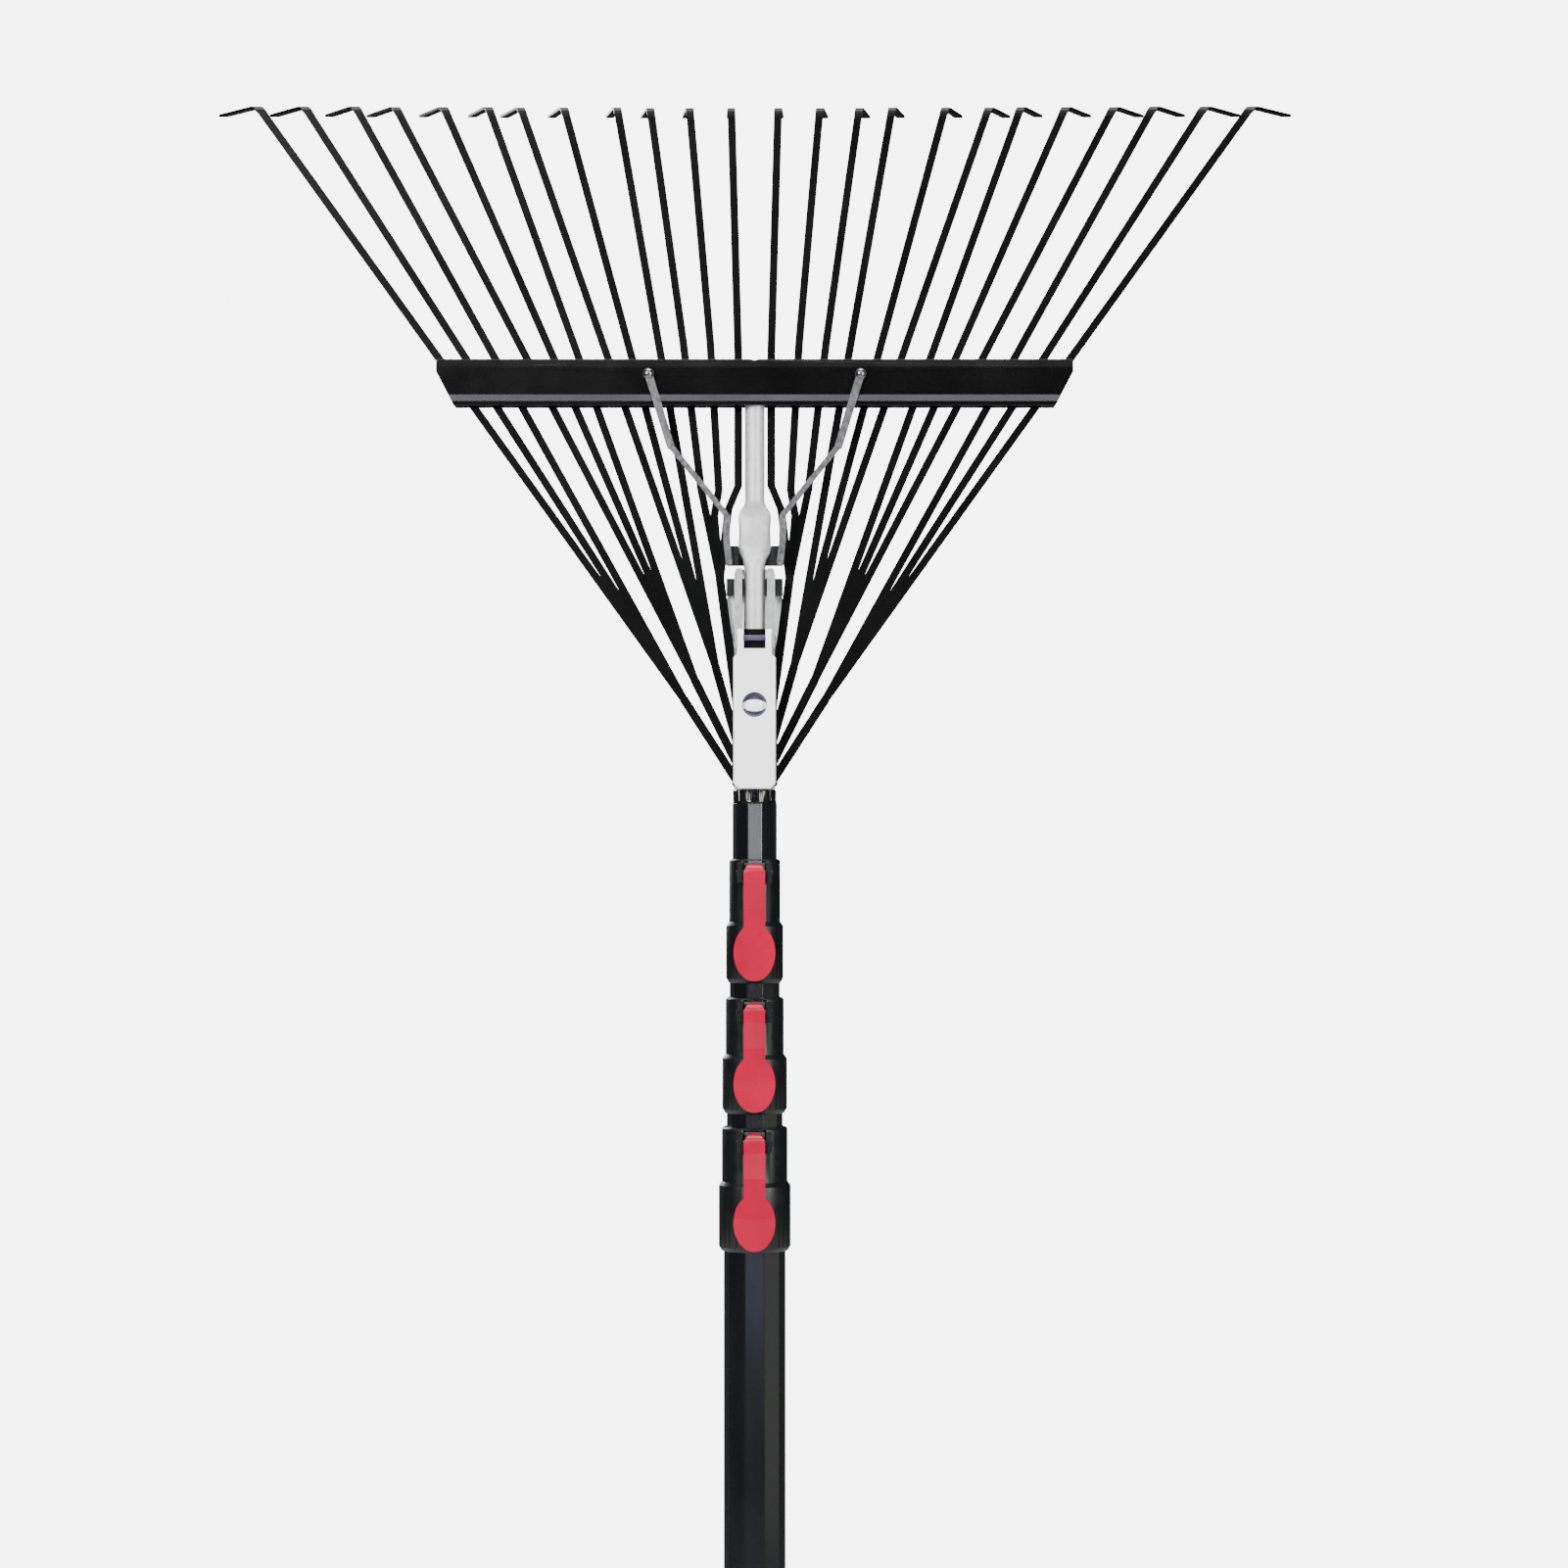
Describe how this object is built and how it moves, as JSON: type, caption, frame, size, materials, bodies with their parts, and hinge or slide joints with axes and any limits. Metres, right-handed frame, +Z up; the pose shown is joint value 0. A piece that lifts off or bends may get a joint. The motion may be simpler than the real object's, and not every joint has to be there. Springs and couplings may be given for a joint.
{
  "type": "leaf rake",
  "caption": "Leaf rake with a telescopic pole, flip lever locks and a fan of hooked steel tines held by a sliding crossbar.",
  "frame": {"origin": "centre of the pole's butt end", "axes": "+Z up the pole to the tine tips, +Y to the back where the hooks point, X across the fan"},
  "size_m": [0.6118, 0.0674, 1.2348],
  "materials": {
    "black_rubber": "matte",
    "black_tube": "gloss powder coat",
    "black_nylon": "satin",
    "red_plastic": "glossy",
    "pin_steel": "plain",
    "shoe_nylon": "plain",
    "ferrule_black": "gloss",
    "zinc_sheet": "galvanised",
    "zinc_lever": "bright zinc",
    "zinc_tube": "galvanised",
    "bar_black": "satin powder coat",
    "tine_black": "satin powder coat",
    "brace_steel": "galvanised"
  },
  "bodies": {
    "outer_section": {"end_cap": "black_rubber", "outer_tube": "black_tube", "lower_lock_collar": "black_nylon", "lower_lever_pin": "pin_steel", "lower_clamp_shoe": "shoe_nylon"},
    "second_section": {"second_tube": "black_tube", "second_plug": "shoe_nylon", "middle_lock_collar": "black_nylon", "middle_lever_pin": "pin_steel", "middle_clamp_shoe": "shoe_nylon"},
    "third_section": {"third_tube": "black_tube", "third_plug": "shoe_nylon", "upper_lock_collar": "black_nylon", "upper_lever_pin": "pin_steel", "upper_clamp_shoe": "shoe_nylon"},
    "head": {"fourth_tube": "black_tube", "fourth_plug": "shoe_nylon", "ferrule": "ferrule_black", "ferrule_pin": "pin_steel", "bracket_back": "zinc_sheet", "bracket_front": "zinc_sheet", "leaf_rivets": "pin_steel", "guide_bush": "black_nylon", "clamp_pin": "pin_steel", "clamp_shoe": "shoe_nylon", "inner_leaf_left": "tine_black", "inner_leaf_right": "tine_black"},
    "lower_lever": {"lower_cam_lever": "red_plastic"},
    "middle_lever": {"middle_cam_lever": "red_plastic"},
    "upper_lever": {"upper_cam_lever": "red_plastic"},
    "head_lever": {"clamp_lever": "zinc_lever", "lever_dome": "zinc_lever"},
    "sliding_frame": {"stem_tube": "zinc_tube", "yoke": "black_nylon", "brace_left": "brace_steel", "brace_right": "brace_steel", "brace_rivets": "pin_steel", "crossbar_front": "bar_black", "crossbar_back": "bar_black", "crossbar_spacers": "pin_steel"},
    "outer_fan_left": {"outer_leaf_left": "tine_black"},
    "outer_fan_right": {"outer_leaf_right": "tine_black"},
    "third_fan_left": {"third_leaf_left": "tine_black"},
    "third_fan_right": {"third_leaf_right": "tine_black"},
    "second_fan_left": {"second_leaf_left": "tine_black"},
    "second_fan_right": {"second_leaf_right": "tine_black"}
  },
  "joints": [
    {"name": "second_slide", "type": "slide", "parent": "outer_section", "child": "second_section", "axis": [0, 0, 1], "range_m": [0, 0.43]},
    {"name": "third_slide", "type": "slide", "parent": "second_section", "child": "third_section", "axis": [0, 0, 1], "range_m": [0, 0.43]},
    {"name": "fourth_slide", "type": "slide", "parent": "third_section", "child": "head", "axis": [0, 0, 1], "range_m": [0, 0.43]},
    {"name": "lower_lever_turn", "type": "hinge", "parent": "outer_section", "child": "lower_lever", "pos_m": [0, -0.0235, 0.6525], "axis": [-1, 0, 0], "range_deg": [0, 110]},
    {"name": "middle_lever_turn", "type": "hinge", "parent": "second_section", "child": "middle_lever", "pos_m": [0, -0.0214, 0.7253], "axis": [-1, 0, 0], "range_deg": [0, 110]},
    {"name": "upper_lever_turn", "type": "hinge", "parent": "third_section", "child": "upper_lever", "pos_m": [0, -0.01935, 0.8031], "axis": [-1, 0, 0], "range_deg": [0, 110]},
    {"name": "head_lever_turn", "type": "hinge", "parent": "head", "child": "head_lever", "pos_m": [0, -0.0134, 0.9347], "axis": [-1, 0, 0], "range_deg": [0, 100]},
    {"name": "frame_slide", "type": "slide", "parent": "head", "child": "sliding_frame", "axis": [0, 0, 1], "range_m": [0, 0.045]},
    {"name": "outer_left_swing", "type": "hinge", "parent": "head", "child": "outer_fan_left", "pos_m": [-0.0096, 0, 0.8537], "axis": [0, 1, 0], "range_deg": [0, 4.59]},
    {"name": "outer_right_swing", "type": "hinge", "parent": "head", "child": "outer_fan_right", "pos_m": [0.0096, 0, 0.8537], "axis": [0, -1, 0], "range_deg": [0, 4.59]},
    {"name": "third_left_swing", "type": "hinge", "parent": "head", "child": "third_fan_left", "pos_m": [-0.0096, 0, 0.8633], "axis": [0, 1, 0], "range_deg": [0, 3.69]},
    {"name": "third_right_swing", "type": "hinge", "parent": "head", "child": "third_fan_right", "pos_m": [0.0096, 0, 0.8633], "axis": [0, -1, 0], "range_deg": [0, 3.69]},
    {"name": "second_left_swing", "type": "hinge", "parent": "head", "child": "second_fan_left", "pos_m": [-0.0096, 0, 0.8747], "axis": [0, 1, 0], "range_deg": [0, 1.93]},
    {"name": "second_right_swing", "type": "hinge", "parent": "head", "child": "second_fan_right", "pos_m": [0.0096, 0, 0.8747], "axis": [0, -1, 0], "range_deg": [0, 1.93]}
  ],
  "couplings": [
    {"joint": "outer_left_swing", "follows": "frame_slide", "rad_per_m": 1.76},
    {"joint": "outer_right_swing", "follows": "frame_slide", "rad_per_m": 1.76},
    {"joint": "third_left_swing", "follows": "frame_slide", "rad_per_m": 1.41},
    {"joint": "third_right_swing", "follows": "frame_slide", "rad_per_m": 1.41},
    {"joint": "second_left_swing", "follows": "frame_slide", "rad_per_m": 0.73},
    {"joint": "second_right_swing", "follows": "frame_slide", "rad_per_m": 0.73}
  ]
}
